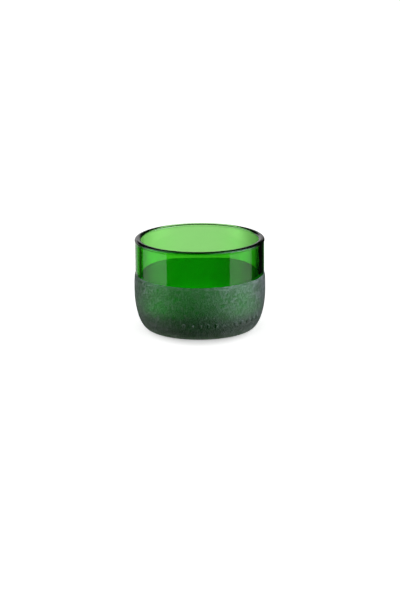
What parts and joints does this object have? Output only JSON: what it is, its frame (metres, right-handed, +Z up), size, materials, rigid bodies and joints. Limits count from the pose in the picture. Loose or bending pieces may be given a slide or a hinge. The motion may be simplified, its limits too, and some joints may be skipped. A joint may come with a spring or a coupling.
{
  "type": "drinking glass",
  "caption": "Low round tumbler in green bottle glass: fire-polished rim, clear recessed upper wall, sandblasted lower body with a long rounded heel, and a thick pushed-up base.",
  "frame": {"origin": "centre of the ring the glass stands on, on the glass's axis", "axes": "+Z up along the glass's axis to the rim, -Y towards the row of raised pills on the heel, +X to their right"},
  "size_m": [0.084, 0.084, 0.0586],
  "materials": {
    "clear_green_glass": "clear green glass, drawn smooth, fire-polished at the rim",
    "frosted_green_glass": "green glass sandblasted on the outside, fine grain"
  },
  "bodies": {
    "root": {"rim": "clear_green_glass", "clear_wall": "clear_green_glass", "frosted_wall": "frosted_green_glass", "base": "frosted_green_glass"}
  },
  "joints": []
}
